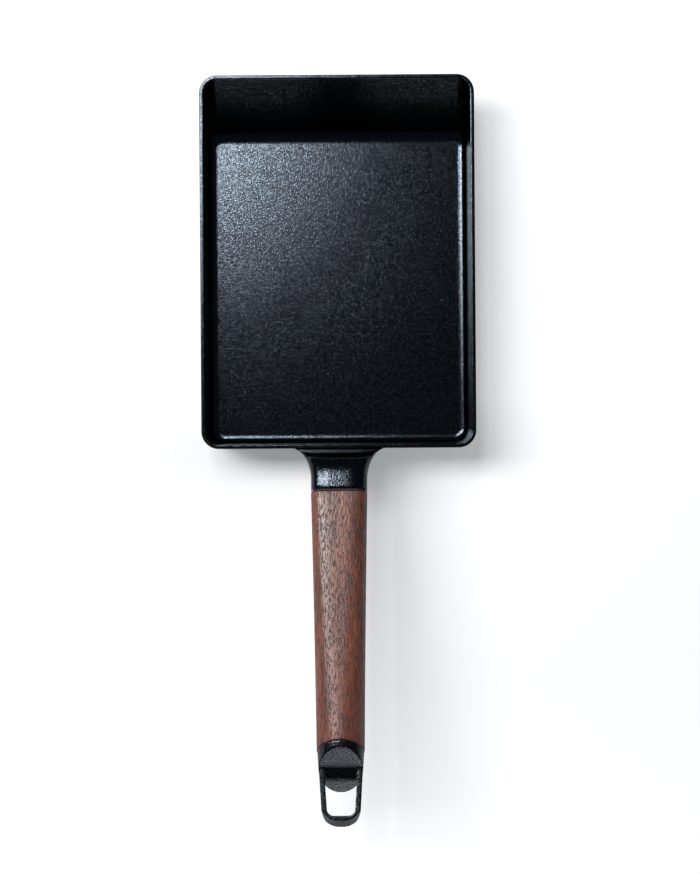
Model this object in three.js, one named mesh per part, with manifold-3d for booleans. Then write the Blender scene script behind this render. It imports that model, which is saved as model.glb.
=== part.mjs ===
// Rectangular omelette pan: one casting with a sloped far wall and a rising neck, a walnut grip that a
// tie rod clamps to the neck, and a cast end piece with a fixed hanging loop.
// Millimetres and degrees, +Z up. The origin lies on the base under the middle of the rim, and the
// handle runs along -Y.

import * as THREE from 'three';
import { mergeVertices } from 'three/addons/utils/BufferGeometryUtils.js';
import Module from 'manifold-3d';

// Pan: outer size at the rim, walls and floor
const rimWidth = 140;
const rimLength = 190;
const panHeight = 34;
const rimCorner = 9;
const rimThickness = 2.2;
const rimOuterRound = 1.1;
const rimInnerRound = 0.7;
const outerDraft = 3.5;
const innerDraft = 4;
const floorThickness = 3;
const footRadius = 2.6;
const baseEdgeRadius = 3.5;
const leastCorner = 1.5;

// Far wall, sloped so that the roll slides out
const farRun = 27.5;
const farThickness = 2.4;
const farFootRadius = 12;
const farBaseRadius = 10;

// Neck: from the near wall to the grip
const neckReach = 22.5;
const neckTilt = 8;
const neckTopDrop = 2.6;
const neckUnderHeight = 10;
const neckTopRise = 24;
const neckUnderRise = 1;
const neckSideFlare = 12;
const neckUnderFlare = 7;
const neckEmbed = 1.2;
const neckRootEase = 0.08;
const neckTipEase = 0.8;
const neckSquareness = 6;

// Grip: its centre line, sections and the slanted cut at its end
const gripAxisHeight = 46;
const gripReach = 126.6;
const gripRise = 18.5;
const gripEndTilt = 8.6;
const gripStartHalfWidth = 14.1;
const gripStartHalfHeight = 12.6;
const gripEndRadius = 11.9;
const gripSquareness = 4.5;
const gripTaperEase = 1.25;
const gripBendEase = 0.33;
const gripEndCut = 26.8;

// End piece: collar, slanted face and hanging loop
const capRootRadius = 11.6;
const capTipRadius = 9.6;
const faceOffset = 9.7;
const faceSlant = 46.1;
const loopReach = 34.4;
const strapTop = 1.8;
const strapHeight = 7;
const strapWidth = 2.9;
const strapRoot = 2;
const strapStep = 0.2;
const loopEase = 0.5;
const endBarWidth = 2.6;
const loopCorner = 9;
const holeCorner = 3;
const bossReach = 9;
const bossRoot = 4;

// Joint between neck and grip
const gasketThickness = 0.8;
const gasketInset = 1;
const spigotRadius = 7.5;
const spigotFlats = 11;
const spigotLength = 6;

// Tie rod and what it carries
const rodRadius = 3;
const rodSeat = 10;
const rodTail = 2;
const rodEndRoom = 0.5;
const washerRadius = 6.6;
const washerThickness = 1.6;
const springRadius = 6;
const springThickness = 1.6;
const springSplit = 14;
const nutAcrossFlats = 10;
const nutThickness = 5;
const pocketRadius = 7.5;
const pinRadius = 1.5;
const pinSetback = 4.5;
const pinDepthInBoss = 9;
const pinRecess = 0.4;

// Clearance between neighbours that touch on the real pan
const fitGap = 0.3;

// Facets
const cornerSteps = 8;
const arcSteps = 4;
const roundSteps = 40;
const boreSteps = 24;
const gripSteps = 18;
const neckSteps = 18;
const capSteps = 4;
const hexSides = 6;

const wasm = await Module();
wasm.setup();

const xAxis = new THREE.Vector3(1, 0, 0);
const rad = THREE.MathUtils.degToRad;
const slope = (degrees) => Math.tan(rad(degrees));
const { lerp } = THREE.MathUtils;

// Turns a closed geometry into a solid that can be joined and cut.
function solidOf(geometry) {
  const bare = geometry.index ? geometry.toNonIndexed() : geometry.clone();
  bare.deleteAttribute('normal');
  bare.deleteAttribute('uv');
  const merged = mergeVertices(bare);
  return new wasm.Manifold(new wasm.Mesh({
    numProp: 3,
    vertProperties: new Float32Array(merged.attributes.position.array),
    triVerts: new Uint32Array(merged.index.array),
  }));
}

// Turns a solid back into a geometry.
function geometryOf(solid) {
  const mesh = solid.getMesh();
  const geometry = new THREE.BufferGeometry();
  geometry.setAttribute('position', new THREE.BufferAttribute(mesh.vertProperties, mesh.numProp));
  geometry.setIndex(new THREE.BufferAttribute(mesh.triVerts, 1));
  geometry.computeVertexNormals();
  return geometry;
}

// A mesh with its node name and finish.
function piece(name, geometry, finish) {
  const mesh = new THREE.Mesh(geometry, new THREE.MeshStandardMaterial(finish));
  mesh.name = name;
  return mesh;
}

// A closed skin over rings of equal point count, with a flat fan over the first and the last ring.
function loft(rings) {
  const count = rings[0].length;
  const middleOf = (ring) => ring.reduce((sum, p) => sum.add(p), new THREE.Vector3()).divideScalar(count);
  const points = [...rings.flat(), middleOf(rings[0]), middleOf(rings.at(-1))];
  const lastRing = (rings.length - 1) * count;
  const firstMiddle = rings.length * count;
  const triangles = [];
  for (let i = 0; i < count; i += 1) {
    const next = (i + 1) % count;
    triangles.push(firstMiddle, next, i);
    for (let start = 0; start < lastRing; start += count) {
      triangles.push(start + i, start + next, start + count + i);
      triangles.push(start + next, start + count + next, start + count + i);
    }
    triangles.push(firstMiddle + 1, lastRing + i, lastRing + next);
  }
  const geometry = new THREE.BufferGeometry().setFromPoints(points);
  geometry.setIndex(triangles);
  return geometry;
}

// A polyline through flat points, each corner that has a radius replaced by an arc of equal steps.
function roundedLine(corners) {
  const line = [];
  corners.forEach(({ x, y, radius = 0 }, i) => {
    const corner = new THREE.Vector2(x, y);
    if (!radius) {
      line.push(corner);
      return;
    }
    const back = new THREE.Vector2(corners[i - 1].x, corners[i - 1].y).sub(corner).normalize();
    const ahead = new THREE.Vector2(corners[i + 1].x, corners[i + 1].y).sub(corner).normalize();
    const halfAngle = Math.acos(back.dot(ahead)) / 2;
    const bisector = back.clone().add(ahead).normalize();
    const centre = corner.clone().addScaledVector(bisector, radius / Math.sin(halfAngle));
    const from = corner.clone().addScaledVector(back, radius / Math.tan(halfAngle)).sub(centre).angle();
    const to = corner.clone().addScaledVector(ahead, radius / Math.tan(halfAngle)).sub(centre).angle();
    const turn = THREE.MathUtils.euclideanModulo(to - from + Math.PI, 2 * Math.PI) - Math.PI;
    for (let k = 0; k <= arcSteps; k += 1) {
      const angle = from + turn * k / arcSteps;
      line.push(new THREE.Vector2(Math.cos(angle), Math.sin(angle)).multiplyScalar(radius).add(centre));
    }
  });
  return line;
}

// A ring of a rounded section: an ellipse at squareness 2, boxier above it. x runs across, y up.
function sectionRing(halfWidth, halfHeight, squareness) {
  const bulge = (value) => Math.sign(value) * Math.abs(value) ** (2 / squareness);
  return Array.from({ length: roundSteps }, (_, k) => {
    const angle = 2 * Math.PI * k / roundSteps;
    return new THREE.Vector2(halfWidth * bulge(Math.cos(angle)), halfHeight * bulge(Math.sin(angle)));
  });
}

// A round bar along -Y from one place to another.
function barAlongHandle(radius, from, to, sides = boreSteps) {
  const bar = new THREE.CylinderGeometry(radius, radius, to - from, sides);
  return bar.translate(0, -(from + to) / 2, 0);
}

// A flat shape, drawn across and up, given a thickness along -Y from a place.
function plateAlongHandle(shape, from, thickness) {
  const plate = new THREE.ExtrudeGeometry(shape, {
    depth: thickness,
    bevelEnabled: false,
    curveSegments: boreSteps,
  });
  return plate.rotateX(Math.PI / 2).translate(0, -from, 0);
}

// Frames along the handle: each looks along its local -Y, with +Z up
const gripStart = new THREE.Vector3(0, -(rimLength / 2 + neckReach), gripAxisHeight);
const gripEnd = gripStart.clone().add(new THREE.Vector3(0, -gripReach, gripRise));
const rodLength = gripStart.distanceTo(gripEnd);
const rodTilt = Math.atan2(gripRise, gripReach);

function frameAt(origin, tilt) {
  const frame = new THREE.Group();
  frame.position.copy(origin);
  frame.rotation.x = -tilt;
  frame.updateMatrixWorld();
  return frame;
}

const jointFrame = frameAt(gripStart, rad(neckTilt));
const rodFrame = frameAt(gripStart, rodTilt);
const endFrame = frameAt(gripEnd, rad(gripEndTilt));
const rodToEnd = endFrame.matrixWorld.clone().invert().multiply(rodFrame.matrixWorld);

// Places along the joint, and along the rod from the grip's start
const neckFace = -(gasketThickness + 2 * fitGap);
const spigotTip = neckFace + spigotLength;
const bossTip = rodLength - bossReach;
const rodEnd = bossTip - rodEndRoom;
const nutPlace = rodEnd - rodTail - nutThickness;
const springPlace = nutPlace - fitGap - springThickness;
const washerPlace = springPlace - fitGap - washerThickness;
const pocketFloor = washerPlace - fitGap;

// The section of one wall, from the base edge over the rim to the floor: x is the inset from the
// outline of the rim, y the height. Rounding the rim must not draw it in from that outline.
function wallSection({ outerFoot, innerFoot, baseRadius, floorRadius }) {
  const middle = rimWidth / 2;
  const rimAngle = Math.atan2(panHeight, outerFoot);
  const drawnIn = rimOuterRound / Math.tan(rimAngle / 2) - rimOuterRound;
  const section = roundedLine([
    { x: middle, y: 0 },
    { x: outerFoot, y: 0, radius: baseRadius },
    { x: 0, y: panHeight, radius: rimOuterRound },
    { x: rimThickness, y: panHeight, radius: rimInnerRound },
    { x: innerFoot, y: floorThickness, radius: floorRadius },
    { x: middle, y: floorThickness },
  ]);
  return section.slice(1, -1).map(({ x, y }) => new THREE.Vector2(x - drawnIn, y));
}

const wallDepth = panHeight - floorThickness;
const plainWall = wallSection({
  outerFoot: panHeight * slope(outerDraft),
  innerFoot: rimThickness + wallDepth * slope(innerDraft),
  baseRadius: baseEdgeRadius,
  floorRadius: footRadius,
});
const farSlant = Math.atan2(farRun, wallDepth);
const farOuterRun = rimThickness + farRun - farThickness / Math.cos(farSlant);
const farWall = wallSection({
  outerFoot: farOuterRun * panHeight / wallDepth,
  innerFoot: rimThickness + farRun,
  baseRadius: farBaseRadius,
  floorRadius: farFootRadius,
});

// One ring round the pan at matching places of the plain walls and the far wall, which is at +Y.
function panRing(plain, far) {
  const radius = Math.max(rimCorner - plain.x, leastCorner);
  const side = rimWidth / 2 - plain.x - radius;
  const near = plain.x + radius - rimLength / 2;
  const away = rimLength / 2 - far.x - radius;
  const corners = [
    { x: side, y: near, from: plain.y, to: plain.y },
    { x: side, y: away, from: plain.y, to: far.y },
    { x: -side, y: away, from: far.y, to: plain.y },
    { x: -side, y: near, from: plain.y, to: plain.y },
  ];
  return corners.flatMap(({ x, y, from, to }, quarter) => (
    Array.from({ length: cornerSteps + 1 }, (_, k) => {
      const share = k / cornerSteps;
      const angle = (quarter - 1 + share) * Math.PI / 2;
      const height = lerp(from, to, THREE.MathUtils.smoothstep(share, 0, 1));
      return new THREE.Vector3(x + radius * Math.cos(angle), y + radius * Math.sin(angle), height);
    })
  ));
}

const panRings = plainWall.map((plain, k) => panRing(plain, farWall[k]));
const cornersToCavity = ['base edge', 'rim outside', 'rim inside'].length;
const cavityStart = cornersToCavity * (arcSteps + 1) - 1;

// The neck: flared where it leaves the wall, rising to the section of the grip.
function neckSolid() {
  const wallY = (panHeight - gripAxisHeight / 2) * slope(outerDraft) - rimLength / 2;
  const end = new THREE.Vector3(0, -neckFace, 0).applyMatrix4(jointFrame.matrixWorld);
  const length = wallY - end.y;
  const lift = end.z;
  const easeOut = length * neckRootEase;
  const easeIn = length * (1 - neckTipEase);
  const line = (root, rise, tip) => new THREE.CubicBezierCurve(
    new THREE.Vector2(0, root),
    new THREE.Vector2(easeOut, root + rise),
    new THREE.Vector2(easeIn, tip - (length - easeIn) * slope(neckTilt)),
    new THREE.Vector2(length, tip),
  );
  const top = line(panHeight - neckTopDrop, neckTopRise, lift + gripStartHalfHeight);
  const under = line(neckUnderHeight, neckUnderRise, lift - gripStartHalfHeight);
  const flare = (radius, distance) => {
    const rest = 1 - Math.min(Math.max(distance, 0), radius) / radius;
    return radius * (1 - Math.sqrt(1 - rest ** 2));
  };
  const ringAt = (share, distance) => {
    const high = top.getPoint(share).y;
    const low = under.getPoint(share).y - flare(neckUnderFlare, distance);
    const halfWidth = gripStartHalfWidth + flare(neckSideFlare, distance);
    const squareness = lerp(neckSquareness, gripSquareness, share);
    return sectionRing(halfWidth, (high - low) / 2, squareness).map((p) => {
      const z = (high + low) / 2 + p.y;
      return new THREE.Vector3(p.x, wallY - distance + (z - lift) * slope(neckTilt) * share, z);
    });
  };
  const rings = [ringAt(0, -neckEmbed)];
  for (let k = 0; k <= neckSteps; k += 1) {
    const share = k / neckSteps;
    rings.push(ringAt(share, top.getPoint(share).x));
  }
  return solidOf(loft(rings));
}

// A disc with two flats, which keeps the grip from turning on the neck.
function spigotShape(radius, acrossFlats) {
  const tilt = Math.acos(acrossFlats / 2 / radius);
  const shape = new THREE.Shape();
  shape.absarc(0, 0, radius, tilt, Math.PI - tilt, false);
  shape.absarc(0, 0, radius, Math.PI + tilt, -tilt, false);
  return shape;
}

const black = { color: 0x23272c, roughness: 0.55, metalness: 0.1 };
const steel = { color: 0x9a9c9e, roughness: 0.35, metalness: 1 };

function panBody() {
  const cavity = solidOf(loft(panRings.slice(cavityStart).reverse()));
  const spigot = plateAlongHandle(
    spigotShape(spigotRadius, spigotFlats),
    neckFace - fitGap,
    spigotLength + fitGap,
  );
  const rodHole = barAlongHandle(rodRadius + fitGap, -(rodSeat + fitGap), spigotLength + spigotTip);
  const body = solidOf(loft(panRings))
    .add(neckSolid().subtract(cavity))
    .add(solidOf(spigot.applyMatrix4(jointFrame.matrixWorld)))
    .subtract(solidOf(rodHole.applyMatrix4(rodFrame.matrixWorld)));
  return piece('pan_body', geometryOf(body), black);
}

function neckGasket() {
  const shape = new THREE.Shape(sectionRing(
    gripStartHalfWidth - gasketInset,
    gripStartHalfHeight - gasketInset,
    gripSquareness,
  ));
  shape.holes.push(spigotShape(spigotRadius + fitGap, spigotFlats + 2 * fitGap));
  const ring = plateAlongHandle(shape, -(gasketThickness + fitGap), gasketThickness);
  return piece('neck_gasket', ring, { color: 0x17181a, roughness: 0.8, metalness: 0 });
}

function woodGrip() {
  const centreLine = new THREE.CubicBezierCurve3(
    gripStart,
    new THREE.Vector3(0, -gripReach * gripBendEase, 0).applyMatrix4(jointFrame.matrixWorld),
    new THREE.Vector3(0, gripReach * gripBendEase, 0).applyMatrix4(endFrame.matrixWorld),
    gripEnd,
  );
  const rings = [];
  for (let k = 0; k <= gripSteps; k += 1) {
    const share = k / gripSteps;
    const taper = 1 - (1 - share) ** gripTaperEase;
    const lean = slope(gripEndCut) * share ** 2;
    const along = centreLine.getTangent(share);
    const up = along.clone().cross(xAxis);
    const ring = sectionRing(
      lerp(gripStartHalfWidth, gripEndRadius, taper),
      lerp(gripStartHalfHeight, gripEndRadius, taper),
      lerp(gripSquareness, 2, taper),
    );
    rings.push(ring.map((p) => centreLine.getPoint(share)
      .addScaledVector(xAxis, p.x)
      .addScaledVector(up, p.y)
      .addScaledVector(along, -p.y * lean)));
  }
  const socket = plateAlongHandle(
    spigotShape(spigotRadius + fitGap, spigotFlats + 2 * fitGap),
    -spigotLength,
    spigotLength + spigotTip + fitGap,
  );
  const bore = barAlongHandle(rodRadius + fitGap, -rodSeat, rodLength);
  const pocket = barAlongHandle(pocketRadius, pocketFloor, rodLength + gripEndRadius);
  const pinHole = loopPinBar(pinRadius + fitGap, gripEndRadius);
  const grip = solidOf(loft(rings))
    .subtract(solidOf(socket.applyMatrix4(jointFrame.matrixWorld)))
    .subtract(solidOf(bore.applyMatrix4(rodFrame.matrixWorld)))
    .subtract(solidOf(pocket.applyMatrix4(rodFrame.matrixWorld)))
    .subtract(solidOf(pinHole.applyMatrix4(endFrame.matrixWorld)));
  return piece('wood_grip', geometryOf(grip), { color: 0x5a3226, roughness: 0.5, metalness: 0 });
}

// The cross pin in the frame of the end piece, run past its lower end by a length.
function loopPinBar(radius, past) {
  const bottom = pinRecess - gripEndRadius - past;
  const topEnd = pinDepthInBoss - pocketRadius + radius - pinRadius;
  const bar = new THREE.CylinderGeometry(radius, radius, topEnd - bottom, boreSteps);
  return bar.rotateX(Math.PI / 2).translate(0, pinSetback, (topEnd + bottom) / 2);
}

// The end piece's round body narrows evenly from the grip to the tip of the loop.
function capRing(offset, slant, inset = 0) {
  const narrowing = (capRootRadius - capTipRadius) / loopReach;
  const root = capRootRadius - inset;
  return Array.from({ length: roundSteps }, (_, k) => {
    const angle = 2 * Math.PI * k / roundSteps;
    const lean = slope(slant) * Math.sin(angle);
    const along = (offset - lean * root) / (1 - lean * narrowing);
    const radius = root - along * narrowing;
    return new THREE.Vector3(radius * Math.cos(angle), -along, radius * Math.sin(angle));
  });
}

function loftBetween(first, last) {
  return loft(Array.from({ length: capSteps + 1 }, (_, k) => (
    first.map((p, i) => p.clone().lerp(last[i], k / capSteps))
  )));
}

// The loop's strap: a U seen from above, as high as the strap, its end cut parallel to the grip's end.
function loopStrap() {
  const rootEdge = capRootRadius + loopEase;
  const tipEdge = capTipRadius + loopEase;
  const outline = roundedLine([
    { x: -rootEdge, y: -strapRoot },
    { x: -tipEdge, y: -loopReach, radius: loopCorner },
    { x: tipEdge, y: -loopReach, radius: loopCorner },
    { x: rootEdge, y: -strapRoot },
  ]);
  const hole = roundedLine([
    { x: capRootRadius - strapWidth, y: -strapRoot },
    { x: capTipRadius - strapWidth, y: endBarWidth - loopReach, radius: holeCorner },
    { x: strapWidth - capTipRadius, y: endBarWidth - loopReach, radius: holeCorner },
    { x: strapWidth - capRootRadius, y: -strapRoot },
  ]);
  const strap = new THREE.ExtrudeGeometry(new THREE.Shape([...outline, ...hole]), {
    depth: strapHeight,
    bevelEnabled: false,
  });
  strap.translate(0, 0, strapTop - strapHeight);
  strap.applyMatrix4(new THREE.Matrix4().makeShear(0, 0, 0, 0, 0, slope(gripEndCut)));
  const round = loftBetween(
    capRing(-strapHeight, 0, strapStep),
    capRing(loopReach + strapHeight, 0, strapStep),
  );
  return solidOf(strap).intersect(solidOf(round));
}

function endLoop() {
  const collar = loftBetween(capRing(fitGap, gripEndCut), capRing(faceOffset, faceSlant));
  const boss = barAlongHandle(pocketRadius - fitGap, bossTip, rodLength + gripEndRadius);
  const bossEnd = loftBetween(capRing(-loopReach, gripEndCut), capRing(bossRoot, gripEndCut));
  const loop = solidOf(collar)
    .add(loopStrap())
    .add(solidOf(boss.applyMatrix4(rodToEnd)).intersect(solidOf(bossEnd)))
    .subtract(solidOf(loopPinBar(pinRadius + fitGap, gripEndRadius)));
  return piece('end_loop', geometryOf(loop), { color: 0x2b2e31, roughness: 0.65, metalness: 0.1 });
}

function tieRod() {
  return piece('tie_rod', barAlongHandle(rodRadius, -rodSeat, rodEnd), steel);
}

function ringShape(outer, inner) {
  const shape = new THREE.Shape().absarc(0, 0, outer, 0, 2 * Math.PI, false);
  shape.holes.push(new THREE.Path().absarc(0, 0, inner, 0, 2 * Math.PI, true));
  return shape;
}

function flatWasher() {
  const shape = ringShape(washerRadius, rodRadius + fitGap);
  return piece('flat_washer', plateAlongHandle(shape, washerPlace, washerThickness), steel);
}

function springWasher() {
  const from = (Math.PI + rad(springSplit)) / 2;
  const to = from + 2 * Math.PI - rad(springSplit);
  const shape = new THREE.Shape();
  shape.absarc(0, 0, springRadius, from, to, false);
  shape.absarc(0, 0, rodRadius + fitGap, to, from, true);
  return piece('spring_washer', plateAlongHandle(shape, springPlace, springThickness), steel);
}

function clampNut() {
  const corner = nutAcrossFlats / 2 / Math.cos(Math.PI / hexSides);
  const shape = new THREE.Shape(Array.from({ length: hexSides }, (_, k) => {
    const angle = 2 * Math.PI * k / hexSides;
    return new THREE.Vector2(corner * Math.cos(angle), corner * Math.sin(angle));
  }));
  shape.holes.push(new THREE.Path().absarc(0, 0, rodRadius + fitGap, 0, 2 * Math.PI, true));
  return piece('clamp_nut', plateAlongHandle(shape, nutPlace, nutThickness), steel);
}

function loopPin() {
  return piece('loop_pin', loopPinBar(pinRadius, 0), steel);
}

jointFrame.add(neckGasket());
rodFrame.add(tieRod(), flatWasher(), springWasher(), clampNut());
endFrame.add(endLoop(), loopPin());

const pan = new THREE.Group();
pan.add(panBody(), woodGrip(), jointFrame, rodFrame, endFrame);

export default pan;
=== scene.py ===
"""Dresses the rectangular omelette pan and its studio: casting, walnut grip, end piece and hardware."""

from __future__ import annotations

import logging
import math
from collections.abc import Callable, Sequence
from dataclasses import dataclass
from enum import Enum

import bmesh
import bpy
from mathutils import Matrix, Vector


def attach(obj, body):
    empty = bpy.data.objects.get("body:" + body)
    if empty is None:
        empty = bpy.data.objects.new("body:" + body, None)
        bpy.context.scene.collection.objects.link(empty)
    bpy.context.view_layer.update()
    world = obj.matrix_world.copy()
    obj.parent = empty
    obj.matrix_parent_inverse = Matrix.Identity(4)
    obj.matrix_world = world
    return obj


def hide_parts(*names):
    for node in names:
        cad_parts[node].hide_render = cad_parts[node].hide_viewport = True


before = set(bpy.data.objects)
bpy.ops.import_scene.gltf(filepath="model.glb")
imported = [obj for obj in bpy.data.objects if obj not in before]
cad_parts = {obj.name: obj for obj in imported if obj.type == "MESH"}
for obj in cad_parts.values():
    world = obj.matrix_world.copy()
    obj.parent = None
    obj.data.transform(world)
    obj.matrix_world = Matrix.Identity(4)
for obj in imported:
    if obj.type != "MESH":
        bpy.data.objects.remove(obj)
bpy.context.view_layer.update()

log = logging.getLogger("omelette_pan")

BODY = "root"
NEAR = 1e-5
WELD = 1e-7
DOUBLES = 1e-6
ROUND = 0.5
FACING = 0.9
ELLIPSE = 2.0
BAR_SIDES = 48
SECTION_STEPS = 16
SMOOTH_ANGLE = 35.0
WHITE = (1.0, 1.0, 1.0, 1.0)


class Pick(Enum):
    """What a selection test is asked about."""

    VERTS = "VERT"
    EDGES = "EDGE"
    FACES = "FACE"


class Join(Enum):
    """How a second solid acts on the first."""

    ADD = "UNION"
    CUT = "DIFFERENCE"
    KEEP = "INTERSECT"


def only(piece: bpy.types.Object) -> None:
    """Selects one object alone and makes it the active one."""
    bpy.ops.object.select_all(action="DESELECT")
    piece.select_set(True)
    bpy.context.view_layer.objects.active = piece


def newest(name: str) -> bpy.types.Object:
    """Names the primitive that was just added and puts its place and size into its mesh.

    Args:
        name: The object's name.

    Returns:
        The new object, at the origin and unscaled.
    """
    piece = bpy.context.active_object
    piece.name = name
    piece.data.name = name
    only(piece)
    bpy.ops.object.transform_apply(location=True, rotation=True, scale=True)
    return piece


class Bench:
    """Edit-mode work on one object, whose parts are picked in code by their place or normal."""

    def __init__(self, piece: bpy.types.Object) -> None:
        """Keeps the object that is worked on."""
        self.piece = piece

    def __enter__(self) -> Bench:
        """Opens the object in edit mode with nothing selected."""
        only(self.piece)
        bpy.ops.object.mode_set(mode="EDIT")
        bpy.ops.mesh.select_all(action="DESELECT")
        return self

    def __exit__(self, *_: object) -> None:
        """Leaves edit mode."""
        bpy.ops.object.mode_set(mode="OBJECT")

    def pick(self, kind: Pick, test: Callable[[object], bool]) -> None:
        """Selects the vertices, edges or faces that pass a test, and nothing else.

        Args:
            kind: What is tested.
            test: Takes a vertex, edge or face of the mesh.
        """
        bpy.ops.mesh.select_mode(type=kind.value)
        bpy.ops.mesh.select_all(action="DESELECT")
        mesh = bmesh.from_edit_mesh(self.piece.data)
        mesh.normal_update()
        chosen = [part for part in getattr(mesh, kind.name.lower()) if test(part)]
        for part in chosen:
            part.select_set(True)
        mesh.select_flush_mode()
        bmesh.update_edit_mesh(self.piece.data)

    @staticmethod
    def shift(by: Sequence[float]) -> None:
        """Moves what is selected."""
        bpy.ops.transform.translate(value=tuple(by))

    @staticmethod
    def round_off(width: float, segments: int) -> None:
        """Bevels the selected edges to a round of the given reach."""
        bpy.ops.mesh.bevel(
            offset_type="OFFSET", offset=width, segments=segments, profile=ROUND, affect="EDGES"
        )


def finish_modifier(piece: bpy.types.Object, kind: str, **settings: object) -> None:
    """Adds a modifier with its settings and applies it.

    Args:
        piece: The object that is changed.
        kind: The modifier's type.
        settings: Its settings by name.
    """
    modifier = piece.modifiers.new(kind.lower(), kind)
    for key, value in settings.items():
        setattr(modifier, key, value)
    only(piece)
    bpy.ops.object.modifier_apply(modifier=modifier.name)


def join_solids(piece: bpy.types.Object, other: bpy.types.Object, how: Join) -> None:
    """Joins, cuts or keeps the common part of two closed solids, and removes the second.

    Args:
        piece: The solid that stays.
        other: The solid that acts on it.
        how: What the second solid does.
    """
    finish_modifier(piece, "BOOLEAN", object=other, operation=how.value, solver="EXACT")
    bpy.data.objects.remove(other)


def tidy_mesh(piece: bpy.types.Object) -> None:
    """Welds stray doubles and shades a finished mesh smooth, with its flat faces and sharp edges kept."""
    with Bench(piece):
        bpy.ops.mesh.select_all(action="SELECT")
        bpy.ops.mesh.remove_doubles(threshold=DOUBLES)
    only(piece)
    bpy.ops.object.shade_smooth_by_angle(angle=math.radians(SMOOTH_ANGLE))
    finish_modifier(piece, "WEIGHTED_NORMAL", mode="FACE_AREA", weight=100, keep_sharp=True)


@dataclass(frozen=True)
class Ring:
    """One rounded section of a skinned piece, in a plane that leans back by its tilt.

    Attributes:
        middle: The section's middle.
        tilt: The lean of its plane in degrees: its normal rises by this from the handle's level direction.
        half_width: Half its size across.
        half_height: Half its size up, in its plane.
        squareness: 2 for an ellipse, more for a boxier section.
    """

    middle: tuple[float, float, float]
    tilt: float
    half_width: float
    half_height: float
    squareness: float

    def draw(self) -> None:
        """Adds the ring's outline to the mesh in edit mode, as a square with fully rounded corners."""
        bpy.ops.mesh.primitive_plane_add(
            size=2.0 * self.half_height,
            location=self.middle,
            rotation=(math.radians(90.0 - self.tilt), 0.0, 0.0),
        )
        stretch = (self.half_width / self.half_height, 1.0, 1.0)
        bpy.ops.transform.resize(value=stretch, center_override=self.middle)
        fullness = 2.0 ** (-2.0 / self.squareness)
        bpy.ops.mesh.bevel(
            offset_type="PERCENT",
            offset_pct=50.0,
            segments=SECTION_STEPS,
            profile=fullness,
            affect="VERTICES",
        )
        bpy.ops.mesh.remove_doubles(threshold=WELD)
        bpy.ops.mesh.delete(type="ONLY_FACE")


def skin_over(name: str, rings: Sequence[Ring]) -> bpy.types.Object:
    """Makes a closed skin over a row of rings.

    Args:
        name: The object's name.
        rings: The sections, in order.

    Returns:
        The closed object.
    """
    bpy.ops.object.select_all(action="DESELECT")
    bpy.ops.mesh.primitive_plane_add(size=1.0)
    piece = newest(name)
    with Bench(piece):
        bpy.ops.mesh.select_all(action="SELECT")
        bpy.ops.mesh.delete(type="VERT")
        for ring in rings:
            ring.draw()
        bpy.ops.mesh.select_all(action="SELECT")
        bpy.ops.mesh.bridge_edge_loops()
        bpy.ops.mesh.select_all(action="SELECT")
        bpy.ops.mesh.fill_holes(sides=0)
        bpy.ops.mesh.normals_make_consistent(inside=False)
    return piece


def mix(low: float, high: float, share: float) -> float:
    """Gives the value a share of the way from one to the other."""
    return low + (high - low) * share


def bezier(points: Sequence[Vector], share: float) -> Vector:
    """Gives the point at a share of a cubic curve with four control points."""
    rest = 1.0 - share
    return (
        points[0] * rest**3
        + points[1] * 3.0 * rest**2 * share
        + points[2] * 3.0 * rest * share**2
        + points[3] * share**3
    )


def bezier_slope(points: Sequence[Vector], share: float) -> Vector:
    """Gives the direction at a share of a cubic curve with four control points."""
    rest = 1.0 - share
    return (
        (points[1] - points[0]) * rest**2
        + (points[2] - points[1]) * 2.0 * rest * share
        + (points[3] - points[2]) * share**2
    )


@dataclass
class HandleLine:
    """The handle's centre line and the frames along it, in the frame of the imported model.

    Attributes:
        start: Where the grip starts on the centre line.
        end: Where the grip ends.
        start_tilt: The rise of the line at its start, in degrees.
        end_tilt: The rise at its end, in degrees.
        ease: How far the line keeps each end's direction, as a share of its reach.
    """

    start: tuple[float, float, float] = (0.0, -0.1175, 0.046)
    end: tuple[float, float, float] = (0.0, -0.2441, 0.0645)
    start_tilt: float = 8.0
    end_tilt: float = 8.6
    ease: float = 0.33

    def outward(self, tilt: float) -> Vector:
        """Gives the direction along the handle at a rise in degrees."""
        return Vector((0.0, -math.cos(math.radians(tilt)), math.sin(math.radians(tilt))))

    def controls(self) -> list[Vector]:
        """Gives the four control points of the centre line."""
        start, end = Vector(self.start), Vector(self.end)
        reach = (start.y - end.y) * self.ease
        leaving = start + self.outward(self.start_tilt) * reach
        arriving = end - self.outward(self.end_tilt) * reach
        return [start, leaving, arriving, end]

    def place(self, origin: tuple[float, float, float], tilt: float) -> Matrix:
        """Gives the frame at a place of the handle: its -Y runs along the handle and its +Z up."""
        return Matrix.Translation(Vector(origin)) @ Matrix.Rotation(-math.radians(tilt), 4, "X")

    def rod_frame(self) -> Matrix:
        """Gives the frame of the rod, which runs straight through the grip."""
        reach = Vector(self.end) - Vector(self.start)
        return self.place(self.start, math.degrees(math.atan2(reach.z, -reach.y)))

    def end_frame(self) -> Matrix:
        """Gives the frame of the end piece."""
        return self.place(self.end, self.end_tilt)

    def rod_length(self) -> float:
        """Gives the straight length from the grip's start to its end."""
        return (Vector(self.end) - Vector(self.start)).length


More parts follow.
